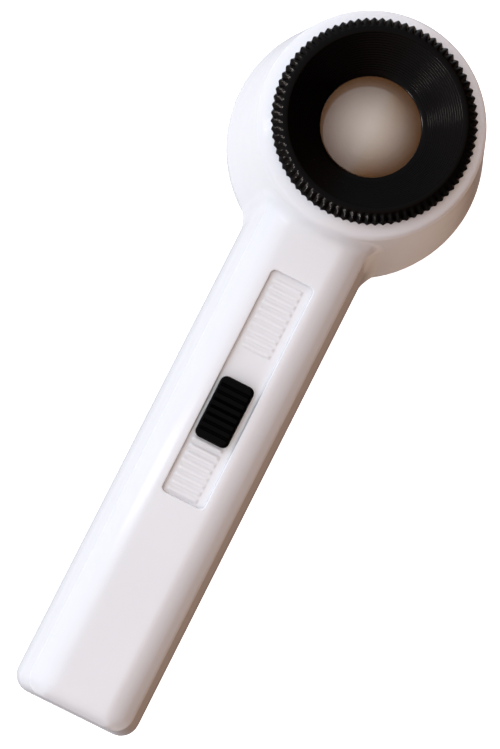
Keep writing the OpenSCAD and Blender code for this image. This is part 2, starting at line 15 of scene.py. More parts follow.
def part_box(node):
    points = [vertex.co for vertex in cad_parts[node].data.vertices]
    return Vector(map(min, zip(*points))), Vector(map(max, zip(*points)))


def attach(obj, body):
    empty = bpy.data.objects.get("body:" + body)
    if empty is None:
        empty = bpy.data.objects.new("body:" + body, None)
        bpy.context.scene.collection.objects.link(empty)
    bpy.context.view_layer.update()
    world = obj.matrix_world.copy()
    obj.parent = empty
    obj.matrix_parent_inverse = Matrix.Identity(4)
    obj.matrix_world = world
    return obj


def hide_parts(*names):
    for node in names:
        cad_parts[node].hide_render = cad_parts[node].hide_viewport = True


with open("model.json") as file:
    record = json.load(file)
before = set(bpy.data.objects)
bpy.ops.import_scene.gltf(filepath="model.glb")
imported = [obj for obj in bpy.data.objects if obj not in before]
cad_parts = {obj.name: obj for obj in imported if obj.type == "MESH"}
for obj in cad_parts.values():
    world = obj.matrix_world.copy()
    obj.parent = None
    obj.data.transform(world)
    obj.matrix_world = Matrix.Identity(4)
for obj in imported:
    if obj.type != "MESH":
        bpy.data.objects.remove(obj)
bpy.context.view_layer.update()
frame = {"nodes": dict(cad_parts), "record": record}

MM = 0.001
scene = bpy.context.scene
for leftover in ("Cube", "Light", "Camera"):
    if leftover in bpy.data.objects:
        bpy.data.objects.remove(bpy.data.objects[leftover], do_unlink=True)


def corners(node):
    """Lowest and highest corner of a CAD node, in millimetres."""
    low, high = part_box(node)
    return np.array(low) / MM, np.array(high) / MM


# ---------------------------------------------------------------- sizes read from the frame

housing_low, housing_high = corners("upper_housing")
ring_high = corners("focus_ring")[1]
knob_low, knob_high = corners("switch_knob")
lens_r = corners("lens")[1][0]

# Head: the cone's radius at its foot and under the collar, the collar that slopes outward, and the bore
PLATE_TOP = 2.4
HEAD_FOOT_R = 31.6
HEAD_TOP_R = 25.9
HEAD_TOP_R_Z = 32.0
HEAD_EDGE_ROUND = 0.8
COLLAR_Z = housing_high[2]
COLLAR_CREST_R = 21.6
COLLAR_SLOPE = math.radians(28)
CREST_ROUND = 0.3
JOIN_ROUND = 3.2
BORE_R = 18.45
BORE_FOOT_Z = 26.0
BORE_CHAMFER = 0.3

# Handle: half width and height of the two creases in its section, the lean of its faces and its roundings
HANDLE_Z = 29.5
HANDLE_END = -housing_low[1]
KNEE = (15.3, 12.0)
SHOULDER = (12.65, 25.7)
SIDE_TILT = math.radians(4.5)
LEAN = math.atan2(KNEE[0] - SHOULDER[0], SHOULDER[1] - KNEE[1])
END_LEAN = math.radians(13.5)
KNEE_ROUND = 0.4
CREASE_ROUND = 0.35
TOP_ROUND = 2.0
END_ROUND = 4.3

# Cell of the fine net of the outside, and cell and depth of the coarse one that the hollow keeps to
SHELL_CELL = 0.54
CORE_CELL = 1.0
CORE_DEPTH = 0.6

# Recess: a rounded rectangle with leaning walls, and the slot for the switch in its floor
RECESS_Y = -66.4
RECESS_LEN = 56.2
RECESS_W = 11.0
RECESS_FLOOR = 28.1
RECESS_WALL_RUN = 0.55
RECESS_CORNER = 1.4
RECESS_FOOT_ROUND = 0.2
RECESS_GRID = (311, 41)
LIP_ROUND = 0.2
CAP_GAP = 0.12
PAD_THICKNESS = 0.9
PAD_MARGIN = 1.0
TRACK_X = -0.35
SLOT_HALF_W = 1.65
SLOT_Y = (-74.1, -65.6)

# Ribs of the recess floor, in one row above the slide cap and one below it
RIB_HALF_LEN = 3.75
RIB_H = 0.28
RIB_PITCH = 1.78
RIB_FOOT_HALF_W = 0.62
RIB_FLANK = 0.42
RIB_END_RUN = 0.45
UPPER_RIB_Y, UPPER_RIBS = -56.8, 10
LOWER_RIB_Y, LOWER_RIBS = -93.05, 8


# ---------------------------------------------------------------- mesh helpers


def new_object(name, vertices, faces, smooth=True):
    """A mesh object from millimetre vertices."""
    mesh = bpy.data.meshes.new(name)
    mesh.from_pydata([tuple(v) for v in np.asarray(vertices) * MM], [], faces)
    mesh.validate()
    obj = bpy.data.objects.new(name, mesh)
    scene.collection.objects.link(obj)
    if smooth:
        mesh.polygons.foreach_set("use_smooth", [True] * len(mesh.polygons))
    return obj


def outward(obj):
    """Turns the faces of a closed mesh outward."""
    bm = bmesh.new()
    bm.from_mesh(obj.data)
    bmesh.ops.recalc_face_normals(bm, faces=bm.faces)
    bm.to_mesh(obj.data)
    bm.free()
    return obj


def copy_of_node(name, new_name):
    """A closed copy of a CAD node's mesh, to cut with or to finish."""
    source = frame["nodes"][name]
    mesh = source.data.copy()
    mesh.name = new_name
    mesh.transform(source.matrix_world)
    mesh.materials.clear()
    obj = bpy.data.objects.new(new_name, mesh)
    scene.collection.objects.link(obj)
    bm = bmesh.new()
    bm.from_mesh(mesh)
    bmesh.ops.remove_doubles(bm, verts=bm.verts, dist=0.0005 * MM)
    bmesh.ops.recalc_face_normals(bm, faces=bm.faces)
    bm.to_mesh(mesh)
    bm.free()
    return obj


def apply_modifiers(obj):
    """Gives an object the mesh that its modifiers make, and drops the modifiers."""
    depsgraph = bpy.context.evaluated_depsgraph_get()
    mesh = bpy.data.meshes.new_from_object(obj.evaluated_get(depsgraph), depsgraph=depsgraph)
    obj.modifiers.clear()
    obj.data = mesh
    return obj


def combine(obj, other, operation):
    """Boolean of two closed meshes; the second one is used up."""
    modifier = obj.modifiers.new("cut", "BOOLEAN")
    modifier.object = other
    modifier.operation = operation
    modifier.solver = "MANIFOLD"
    before = len(obj.data.polygons)
    apply_modifiers(obj)
    print("boolean", obj.name, operation, before, "->", len(obj.data.polygons))
    bpy.data.objects.remove(other, do_unlink=True)
    return obj


def block(name, low, high):
    """Closed box between two corners, used only as a cutter."""
    x0, y0, z0 = low
    x1, y1, z1 = high
    v = [(x, y, z) for z in (z0, z1) for x, y in ((x0, y0), (x1, y0), (x1, y1), (x0, y1))]
    f = [(0, 3, 2, 1), (4, 5, 6, 7), (0, 1, 5, 4), (1, 2, 6, 5), (2, 3, 7, 6), (3, 0, 4, 7)]
    return new_object(name, v, f, smooth=False)


def grid_faces(nr, nc):
    """Quads of a grid of nr rows and nc columns."""
    return [(i * nc + j, i * nc + j + 1, (i + 1) * nc + j + 1, (i + 1) * nc + j)
            for i in range(nr - 1) for j in range(nc - 1)]


def grid_rim(nr, nc):
    """Vertices round the edge of a grid, in order."""
    rim = list(range(nc)) + [i * nc + nc - 1 for i in range(1, nr)]
    return rim + [(nr - 1) * nc + j for j in range(nc - 2, -1, -1)] + [i * nc for i in range(nr - 2, 0, -1)]


def ring_walls(rings):
    """Quads between each closed ring of vertices and the next, and a face over the last one."""
    n = len(rings[0])
    walls = [(low[k], low[(k + 1) % n], high[(k + 1) % n], high[k])
             for low, high in zip(rings, rings[1:]) for k in range(n)]
    return walls + [rings[-1]]


def lathe(name, outline, columns=160):
    """Revolves an outline of (r, z) points about Z. Points with r = 0 close the ends."""
    vertices, rows = [], []
    for r, z in outline:
        if r < 1e-6:
            rows.append([len(vertices)] * columns)
            vertices.append((0, 0, z))
        else:
            rows.append(list(range(len(vertices), len(vertices) + columns)))
            for k in range(columns):
                a = 2 * math.pi * k / columns
                vertices.append((r * math.cos(a), r * math.sin(a), z))
    faces = []
    for low, high in zip(rows, rows[1:]):
        for k in range(columns):
            n = (k + 1) % columns
            corner = [low[k], low[n], high[n], high[k]]
            face = [p for i, p in enumerate(corner) if p not in corner[:i]]
            if len(face) > 2:
                faces.append(face)
    return outward(new_object(name, vertices, faces))


# ---------------------------------------------------------------- outer shape of the housing


def round_cut(a, b, r):
    """Distance field of what two half-spaces share, with its edge rounded."""
    return np.minimum(np.maximum(a, b), -r) + np.hypot(np.maximum(r + a, 0), np.maximum(r + b, 0))


def round_join(a, b, r):
    """Distance field of two shapes together, with a fillet of radius r between them."""
    return np.maximum(np.minimum(a, b), r) - np.hypot(np.maximum(r - a, 0), np.maximum(r - b, 0))


def head_field(x, y, z):
    """Cone of the head under a collar that slopes outward."""
    slope = (HEAD_FOOT_R - HEAD_TOP_R) / (HEAD_TOP_R_Z - PLATE_TOP)
    cone_r = HEAD_TOP_R + (HEAD_TOP_R_Z - z) * slope
    r = np.hypot(x, y)
    side = (r - cone_r) / math.hypot(1, slope)
    collar = (r - COLLAR_CREST_R) * math.sin(COLLAR_SLOPE) + (z - COLLAR_Z) * math.cos(COLLAR_SLOPE)
    return round_cut(round_cut(side, collar, HEAD_EDGE_ROUND), z - COLLAR_Z, CREST_ROUND)


def slope_field(x, z, point, angle):
    """Distance from a plane through a point of the section, its normal tilted up by an angle."""
    return (np.abs(x) - point[0]) * math.cos(angle) + (z - point[1]) * math.sin(angle)


def handle_field(x, y, z):
    """Leaning sides, a crease, sloping shoulders and a flat top, with the end rounded."""
    side = round_cut(slope_field(x, z, KNEE, SIDE_TILT), slope_field(x, z, KNEE, LEAN), KNEE_ROUND)
    section = round_cut(side, slope_field(x, z, SHOULDER, math.pi / 4), CREASE_ROUND)
    section = round_cut(section, z - HANDLE_Z, TOP_ROUND)
    end = (-HANDLE_END - y) * math.cos(END_LEAN) + (z - PLATE_TOP) * math.sin(END_LEAN)
    return np.maximum(round_cut(section, end, END_ROUND), y)


def housing_field(p):
    """Distance field of the whole outside, which runs on a little way below the housing's foot."""
    x, y, z = p[..., 0], p[..., 1], p[..., 2]
    outside = round_join(head_field(x, y, z), handle_field(x, y, z), JOIN_ROUND)
    return np.maximum(outside, -z)


def gradient(field, p, step=0.01):
    """Slope of a field at the given points."""
    out = np.empty_like(p)
    for axis in range(3):
        shift = np.zeros(3)
        shift[axis] = step
        out[..., axis] = (field(p + shift) - field(p - shift)) / (2 * step)
    return out


def settle(field, p, rounds=6):
    """Moves points along the field's slope until they lie on its zero surface."""
    for _ in range(rounds):
        g = gradient(field, p)
        p = p - g * (field(p) / np.maximum((g * g).sum(-1), 0.05))[..., None]
    return p


def surface_net(name, field, low, high, cell, settled=True):
    """Closed quad mesh of a field's zero surface, one vertex in each cell that the surface crosses."""
    axes = [np.arange(a, b + cell, cell) for a, b in zip(low, high)]
    grid = np.stack(np.meshgrid(*axes, indexing="ij"), -1)
    value = field(grid)
    inside = value < 0
    shape = np.array(inside.shape) - 1
    total = np.zeros(tuple(shape) + (3,))
    count = np.zeros(tuple(shape))
    crossing = []
    for axis in range(3):
        a = [slice(None)] * 3
        b = [slice(None)] * 3
        a[axis], b[axis] = slice(None, -1), slice(1, None)
        cross = inside[tuple(a)] != inside[tuple(b)]
        va, vb = value[tuple(a)], value[tuple(b)]
        t = np.where(cross, va / np.where(cross, va - vb, 1), 0)
        point = grid[tuple(a)].copy()
        point[..., axis] += t * cell
        others = [k for k in range(3) if k != axis]
        crossing.append((axis, others, cross, inside[tuple(a)]))
        for i in (0, 1):
            for j in (0, 1):
                pick = [slice(None)] * 3
                pick[others[0]] = slice(i, i + shape[others[0]])
                pick[others[1]] = slice(j, j + shape[others[1]])
                c = cross[tuple(pick)]
                count += c
                total += point[tuple(pick)] * c[..., None]
    used = count > 0
    index = np.full(tuple(shape), -1)
    index[used] = np.arange(used.sum())
    vertices = total[used] / count[used][:, None]
    faces = []
    for axis, others, cross, start_inside in crossing:
        at = np.argwhere(cross)
        keep = np.all([(at[:, k] > 0) & (at[:, k] < shape[k]) for k in others], axis=0)
        at = at[keep]
        quad = []
        for i, j in ((0, 0), (-1, 0), (-1, -1), (0, -1)):
            cell_at = at.copy()
            cell_at[:, others[0]] += i
            cell_at[:, others[1]] += j
            quad.append(index[tuple(cell_at.T)])
        quad = np.stack(quad, -1)
        flip = start_inside[tuple(at.T)] == (axis == 1)
        quad[flip] = quad[flip][:, ::-1]
        faces.append(quad)
    if settled:
        vertices = settle(field, vertices)
    return outward(new_object(name, vertices, np.concatenate(faces).tolist()))


# ---------------------------------------------------------------- recess with its ribs


def rounded_half_width(y, half_w, half_l, r):
    """Half width of a rounded rectangle at the distance y from its middle."""
    past = np.maximum(np.abs(y) - (half_l - r), 0)
    return half_w - r + np.sqrt(np.maximum(r * r - past * past, 0))


def smooth_step(t):
    """Level at 0 and at 1, with a smooth rise between them."""
    return t * t * (3 - 2 * t)


def rib_height(x, y):
    """Height of the moulded ribs over the floor of the recess, with rounded flanks and ends."""
    rows = [UPPER_RIB_Y + i * RIB_PITCH for i in range(UPPER_RIBS)]
    rows += [LOWER_RIB_Y + i * RIB_PITCH for i in range(LOWER_RIBS)]
    to_rib = np.abs(np.asarray(rows)[:, None] - np.ravel(y)).min(0).reshape(np.shape(y))
    to_end = RIB_HALF_LEN - np.abs(x - TRACK_X)
    rise = np.clip((RIB_FOOT_HALF_W - to_rib) / RIB_FLANK, 0, 1)
    close = np.clip(to_end / RIB_END_RUN, 0, 1)
    return RIB_H * smooth_step(np.minimum(rise, close))


def recess_wall():
    """Wall of the recess from its floor up, as (outward, upward) steps: rounded foot, lean, rounded lip."""
    depth = HANDLE_Z - RECESS_FLOOR
    foot = RECESS_FOOT_ROUND
    wall = [(foot * 0.3, foot * 0.06), (foot * 0.7, foot * 0.35), (foot * 0.95, foot)]
    lean = RECESS_WALL_RUN - LIP_ROUND - foot * 0.95
    wall += [(foot * 0.95 + lean * t, foot + (depth - foot - LIP_ROUND) * t) for t in (0.33, 0.67, 1.0)]
    out, up = wall[-1]
    lip_steps = 5
    for k in range(1, lip_steps + 1):
        a = math.pi / 2 * k / lip_steps
        wall.append((out + LIP_ROUND * (1 - math.cos(a)), up + LIP_ROUND * math.sin(a)))
    return wall + [(out + LIP_ROUND + 0.05, depth + 1.2)]


def recess_cutter():
    """Closed shape of the air in the recess, from its ribbed floor to above the handle."""
    corner = RECESS_CORNER - RECESS_WALL_RUN
    half_w = RECESS_W / 2 - RECESS_WALL_RUN
    half_l = RECESS_LEN / 2 - RECESS_WALL_RUN
    nr, nc = RECESS_GRID
    rows = np.linspace(-half_l, half_l, nr)
    width = rounded_half_width(rows, half_w, half_l, corner)
    y = np.repeat(rows[:, None], nc, 1)
    x = width[:, None] * np.linspace(-1, 1, nc)[None, :]
    z = RECESS_FLOOR + rib_height(x, y + RECESS_Y)
    vertices = np.stack([x, y + RECESS_Y, z], -1).reshape(-1, 3).tolist()
    rim = grid_rim(nr, nc)
    base = np.array([vertices[k] for k in rim])
    local = base[:, :2] - [0, RECESS_Y]
    core = np.stack([np.clip(local[:, 0], -(half_w - corner), half_w - corner),
                     np.clip(local[:, 1], -(half_l - corner), half_l - corner)], -1)
    away = local - core
    away /= np.linalg.norm(away, axis=1)[:, None]
    rings = [rim]
    for out, up in recess_wall():
        ring = np.column_stack([base[:, :2] + away * out, np.full(len(rim), RECESS_FLOOR + up)])
        rings.append(list(range(len(vertices), len(vertices) + len(rim))))
        vertices += ring.tolist()
    return outward(new_object("recess", vertices, grid_faces(nr, nc) + ring_walls(rings)))


# ---------------------------------------------------------------- the housing


def housing():
    """The moulded shell: smooth outside from the field, inside as the CAD node has it."""
    low = np.array([housing_low[0] - 1.0, housing_low[1] - 1.0, -2.0])
    high = np.array([housing_high[0] + 1.0, housing_high[1] + 1.0, housing_high[2] + 1.0])
    around_low, around_high = (-60, -180, -10), (60, 60, 60)
    shell = surface_net("housing_shell", housing_field, low, high, SHELL_CELL)
    below = block("below", around_low, (around_high[0], around_high[1], PLATE_TOP))
    combine(shell, below, "DIFFERENCE")
    # The air inside: all that the CAD housing leaves free, away from the outer skin
    air = block("air", around_low, around_high)
    combine(air, copy_of_node("upper_housing", "cad_housing"), "DIFFERENCE")
    core = surface_net("core", lambda p: housing_field(p) + CORE_DEPTH, low, high, CORE_CELL, settled=False)
    combine(air, core, "INTERSECT")
    # The pad under the recess stays solid
    half_w, half_l = RECESS_W / 2 + 1.5, RECESS_LEN / 2 + PAD_MARGIN
    keep = block("keep", (-half_w, RECESS_Y - half_l, RECESS_FLOOR - PAD_THICKNESS),
                 (half_w, RECESS_Y + half_l, HANDLE_Z + 1))
    combine(air, keep, "DIFFERENCE")
    combine(shell, air, "DIFFERENCE")
    mouth_r = BORE_R + BORE_CHAMFER
    bore = lathe("bore", [(0, BORE_FOOT_Z), (BORE_R, BORE_FOOT_Z), (BORE_R, COLLAR_Z - 0.25),
                          (mouth_r, COLLAR_Z + 0.1), (mouth_r, 40), (0, 40)])
    combine(shell, bore, "DIFFERENCE")
    combine(shell, recess_cutter(), "DIFFERENCE")
    slot = block("slot", (TRACK_X - SLOT_HALF_W, SLOT_Y[0], RECESS_FLOOR - 2),
                 (TRACK_X + SLOT_HALF_W, SLOT_Y[1], RECESS_FLOOR + 1))
    combine(shell, slot, "DIFFERENCE")
    return shell


shell = housing()
shell.data.set_sharp_from_angle(angle=math.radians(35))
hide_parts("upper_housing")
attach(shell, "housing")


# ---------------------------------------------------------------- focusing eyepiece

KNURL_TEETH = 80
KNURL_DEPTH = 0.75
POINTS_PER_TOOTH = 10
KNURL_R = ring_high[0]
KNURL_BAND_Z = 36.2
BEVEL_R = 20.7
BEVEL_BULGE = 0.32
BEVEL_STEPS = 9
RIM_R = 19.4
FUNNEL_R = 12.5
FUNNEL_Z = 30.4
FUNNEL_STEPS = 16
CLEAR_R = 11.55
EYEPIECE_Z = ring_high[2]
GRIP_FOOT_Z = EYEPIECE_Z - 2.9
GRIP_FOOT_R = 20.5
BARREL_R = 18.4
BARREL_FOOT_Z = 22.6
BARREL_NECK = (16.4, 24.2)
GROOVE_Z = 29.8
SEAT_Z = 29.5


def knurl_profile():
    """Outer outline of the grip from its foot to the flat rim: (r, z, outward r, outward z, tooth depth)."""
    points = [(KNURL_R - 1.2, GRIP_FOOT_Z, 0, -1, 0.0), (KNURL_R - 0.35, GRIP_FOOT_Z, 0.3, -1, 0.35)]
    points += [(KNURL_R, GRIP_FOOT_Z + 0.2, 1, -0.2, 1.0), (KNURL_R, KNURL_BAND_Z - 0.3, 1, 0.1, 1.0)]
    slope = math.atan2(EYEPIECE_Z - KNURL_BAND_Z, KNURL_R - BEVEL_R)
    out = (math.sin(slope), math.cos(slope))
    for k in range(BEVEL_STEPS + 1):
        t = k / BEVEL_STEPS
        bulge = BEVEL_BULGE * math.sin(math.pi * t)
        r = KNURL_R + (BEVEL_R - KNURL_R) * t + out[0] * bulge
        z = KNURL_BAND_Z + (EYEPIECE_Z - 0.05 - KNURL_BAND_Z) * t + out[1] * bulge
        depth = min(1.0, 1.6 * (1 - t) ** 0.8)
        points.append((min(r, KNURL_R), min(z, EYEPIECE_Z), out[0], out[1], depth))
    return points


def tooth(t):
    """Height lost at the place t of 0 to 1 across one tooth: a rounded tip at 0 and a narrow root at 0.5."""
    tip = 0.22
    from_tip = 1 - abs(2 * t - 1)
    rounded = from_tip ** 2 / (2 * tip) if from_tip < tip else from_tip - tip / 2
    return rounded / (1 - tip / 2)


def funnel_outline():
    """Inner outline from the rim down the steps to the wall over the lens seat."""
    points = [(RIM_R + 0.25, EYEPIECE_Z), (RIM_R + 0.08, EYEPIECE_Z - 0.05), (RIM_R, EYEPIECE_Z - 0.2)]
    run = (RIM_R - FUNNEL_R) / FUNNEL_STEPS
    fall = (EYEPIECE_Z - 0.4 - FUNNEL_Z) / FUNNEL_STEPS
    for i in range(FUNNEL_STEPS):
        r = RIM_R - i * run
        z = EYEPIECE_Z - 0.4 - i * fall
        points += [(r, z - 0.32 * fall), (r - 0.1 * run, z - 0.5 * fall), (r - 0.25 * run, z - 0.58 * fall)]
        points += [(r - 0.75 * run, z - 0.64 * fall), (r - 0.92 * run, z - 0.74 * fall)]
    return points + [(FUNNEL_R, FUNNEL_Z), (CLEAR_R + 0.15, FUNNEL_Z - 0.3), (CLEAR_R, FUNNEL_Z - 0.45)]


def eyepiece():
    """Knurled ring with a tooth on every pitch, a bevelled top edge, the stepped funnel and the barrel."""
    fine = KNURL_TEETH * POINTS_PER_TOOTH
    coarse = fine // 4
    vertices, rows = [], []

    def add_row(count, place):
        rows.append(list(range(len(vertices), len(vertices) + count)))
        for k in range(count):
            a = 2 * math.pi * k / count
            r, z = place(k)
            vertices.append((r * math.cos(a), r * math.sin(a), z))

    bore_r = lens_r + 0.05
    neck_r, neck_z = BARREL_NECK
    barrel = [(bore_r, SEAT_Z), (bore_r, BARREL_FOOT_Z), (neck_r, BARREL_FOOT_Z), BARREL_NECK]
    barrel += [(BARREL_R, neck_z), (BARREL_R, GROOVE_Z - 0.8), (BARREL_R - 0.6, GROOVE_Z - 0.6)]
    barrel += [(BARREL_R - 0.8, GROOVE_Z), (BARREL_R - 0.6, GROOVE_Z + 0.6), (BARREL_R, GROOVE_Z + 0.8)]
    barrel += [(BARREL_R, GRIP_FOOT_Z), (GRIP_FOOT_R, GRIP_FOOT_Z)]
    for r, z in [(CLEAR_R, SEAT_Z)] + barrel:
        add_row(coarse, lambda k, r=r, z=z: (r, z))
    for r, z, nr, nz, depth in knurl_profile():
        def place(k, r=r, z=z, nr=nr, nz=nz, depth=depth):
            lost = KNURL_DEPTH * depth * tooth((k % POINTS_PER_TOOTH) / POINTS_PER_TOOTH)
            return r - nr * lost, z - nz * lost
        add_row(fine, place)
    for r, z in [(BEVEL_R - 0.15, EYEPIECE_Z)] + funnel_outline():
        add_row(coarse, lambda k, r=r, z=z: (r, z))
    rows.append(rows[0])
    faces = []
    for low, high in zip(rows, rows[1:]):
        a, b = len(low), len(high)
        n = min(a, b)
        for k in range(n):
            m = (k + 1) % n
            if a == b:
                faces.append((low[k], low[m], high[m], high[k]))
            elif a > b:
                step = a // b
                fan = [low[(k * step + i) % a] for i in range(step + 1)]
                faces.append(tuple(fan + [high[m], high[k]]))
            else:
                step = b // a
                fan = [high[(k * step + i) % b] for i in range(step + 1)]
                faces.append(tuple([low[m], low[k]] + fan))
    return outward(new_object("eyepiece_ring", vertices, faces))


ring = eyepiece()
ring.data.set_sharp_from_angle(angle=math.radians(38))
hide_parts("focus_ring")
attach(ring, "eyepiece")


# ---------------------------------------------------------------- slide cap

KNOB_CORNER = 1.5
KNOB_EDGE = 0.75
KNOB_CHAMFER = 0.12
KNOB_GRID = (161, 49)
GROOVE_PITCH = 1.78
GROOVES = 7
GROOVE_DEPTH = 0.5
GROOVE_HALF_W = 0.5
SADDLE_DEPTH = 0.12


def knob():
    """Slide cap: a rounded block with seven grooves across its top."""
    centre = (knob_low + knob_high) / 2
    half = (knob_high - knob_low) / 2
    nr, nc = KNOB_GRID
    rows = np.linspace(-half[1], half[1], nr)
    width = rounded_half_width(rows, half[0], half[1], KNOB_CORNER)
    x = width[:, None] * np.linspace(-1, 1, nc)[None, :]
    y = np.repeat(rows[:, None], nc, 1)
    qx = np.abs(x) - (half[0] - KNOB_CORNER)
    qy = np.abs(y) - (half[1] - KNOB_CORNER)
    inward = KNOB_CORNER - np.hypot(np.maximum(qx, 0), np.maximum(qy, 0)) - np.minimum(np.maximum(qx, qy), 0)
    past = np.clip(KNOB_EDGE - inward, 0, KNOB_EDGE)
    drop = KNOB_EDGE - np.sqrt(KNOB_EDGE ** 2 - past ** 2)
    to_groove = np.abs(y[..., None] - (np.arange(GROOVES) - (GROOVES - 1) / 2) * GROOVE_PITCH).min(-1)
    t = np.clip(1 - to_groove / GROOVE_HALF_W, 0, 1)
    groove = GROOVE_DEPTH * smooth_step(t)
    saddle = SADDLE_DEPTH * (1 - (y / half[1]) ** 2)
    z = knob_high[2] - drop - groove - saddle
    vertices = np.stack([x + centre[0], y + centre[1], z], -1).reshape(-1, 3).tolist()
    rim = grid_rim(nr, nc)
    outline = np.array([vertices[k][:2] for k in rim])
    # Below the top the wall is straight down to a small chamfer at the foot
    foot = RECESS_FLOOR + CAP_GAP
    rings = [rim]
    for z, inset in ((foot + 0.9, 0.0), (foot + 0.15, 0.0), (foot, KNOB_CHAMFER)):
        rings.append(list(range(len(vertices), len(vertices) + len(rim))))
        vertices += [(x, y, z) for x, y in (outline - inset * np.sign(outline - centre[:2])).tolist()]
    return outward(new_object("slide_cap", vertices, grid_faces(nr, nc) + ring_walls(rings)))


cap = knob()
cap.data.set_sharp_from_angle(angle=math.radians(50))
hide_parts("switch_knob")
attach(cap, "switch_slider")


# ---------------------------------------------------------------- materials


def new_material(name, color, roughness, metallic=0.0, **inputs):
    """A Principled material with its node tree and shader."""
    material = bpy.data.materials.new(name)
    material.use_nodes = True
    shader = material.node_tree.nodes["Principled BSDF"]
    shader.inputs["Base Color"].default_value = (*color, 1)
    shader.inputs["Roughness"].default_value = roughness
    shader.inputs["Metallic"].default_value = metallic
    for key, value in inputs.items():
        shader.inputs[key.replace("_", " ")].default_value = value
    return material, shader


def node(material, kind, **settings):
    """A node of a material. A setting goes to the input of that name, or else to the node itself."""
    made = material.node_tree.nodes.new(kind)
    for key, value in settings.items():
        if key in made.inputs:
            made.inputs[key].default_value = value
        else:
            setattr(made, key, value)
    return made


def link(material, start, end):
    """Joins an output to an input."""
    material.node_tree.links.new(start, end)


def noise(material, scale, detail=3.0):
    """Noise laid over the object in its own metres."""
    place = node(material, "ShaderNodeTexCoord")
    made = node(material, "ShaderNodeTexNoise", Scale=scale, Detail=detail)
    link(material, place.outputs["Object"], made.inputs["Vector"])
    return made.outputs["Fac"]


def spread(material, source, low, high):
    """Turns a 0 to 1 value into the range low to high."""
    made = node(material, "ShaderNodeMapRange")
    made.inputs["To Min"].default_value = low
    made.inputs["To Max"].default_value = high
    link(material, source, made.inputs["Value"])
    return made.outputs["Result"]


def blend_colors(material, source, first, second):
    """Colour between two, by a 0 to 1 value."""
    made = node(material, "ShaderNodeMix", data_type="RGBA")
    made.inputs[6].default_value = (*first, 1)
    made.inputs[7].default_value = (*second, 1)
    link(material, source, made.inputs[0])
    return made.outputs[2]


def bump(material, shader, source, distance):
    """Relief of the given height in metres."""
    made = node(material, "ShaderNodeBump", Strength=1.0, Distance=distance)
    link(material, source, made.inputs["Height"])
    link(material, made.outputs["Normal"], shader.inputs["Normal"])


def moulded(name, first, second, roughness, grain, depth, **inputs):
    """Moulded plastic: two close colours, a roughness that varies and a fine grain."""
    material, shader = new_material(name, first, roughness, **inputs)
    clouds = noise(material, grain * 0.06, 2.0)
    link(material, blend_colors(material, clouds, first, second), shader.inputs["Base Color"])
    link(material, spread(material, noise(material, grain * 0.3), roughness * 0.85, roughness * 1.2),
         shader.inputs["Roughness"])
    bump(material, shader, noise(material, grain, 2.0), depth * MM)
    return material


def metal(name, first, second, roughness):
    """Sheet or wire metal: fine brushing in the roughness and the surface."""
    material, shader = new_material(name, first, roughness, 1.0)
    link(material, blend_colors(material, noise(material, 250), first, second), shader.inputs["Base Color"])
    link(material, spread(material, noise(material, 1800, 4.0), roughness * 0.7, roughness * 1.4),
         shader.inputs["Roughness"])
    bump(material, shader, noise(material, 2600), 0.004 * MM)
    return material


def clear(name, centre, rim, radius, ior):
    """Cast clear material whose colour deepens from the middle out to the given radius. On the lens this is
    painted shade (the page under the head, darker towards the head's wall, seen through the glass); on the
    lamp it is a plain pale blue tint.
    """
    material, shader = new_material(name, centre, 0.01, Transmission_Weight=1.0, IOR=ior)
    place = node(material, "ShaderNodeTexCoord")
    flat = node(material, "ShaderNodeVectorMath", operation="MULTIPLY")
    flat.inputs[1].default_value = (1, 1, 0)
    link(material, place.outputs["Object"], flat.inputs[0])
    reach = node(material, "ShaderNodeVectorMath", operation="LENGTH")
    link(material, flat.outputs["Vector"], reach.inputs[0])
    share = node(material, "ShaderNodeMapRange", interpolation_type="SMOOTHSTEP")
    share.inputs["From Max"].default_value = radius * MM
    link(material, reach.outputs["Value"], share.inputs["Value"])
    clouds = node(material, "ShaderNodeMath", operation="MULTIPLY_ADD")
    clouds.inputs[1].default_value = 0.06
    link(material, noise(material, 320), clouds.inputs[0])
    link(material, share.outputs["Result"], clouds.inputs[2])
    link(material, blend_colors(material, clouds.outputs[0], centre, rim), shader.inputs["Base Color"])
    link(material, spread(material, noise(material, 700), 0.005, 0.02), shader.inputs["Roughness"])
    bump(material, shader, noise(material, 90), 0.0004 * MM)
    return material


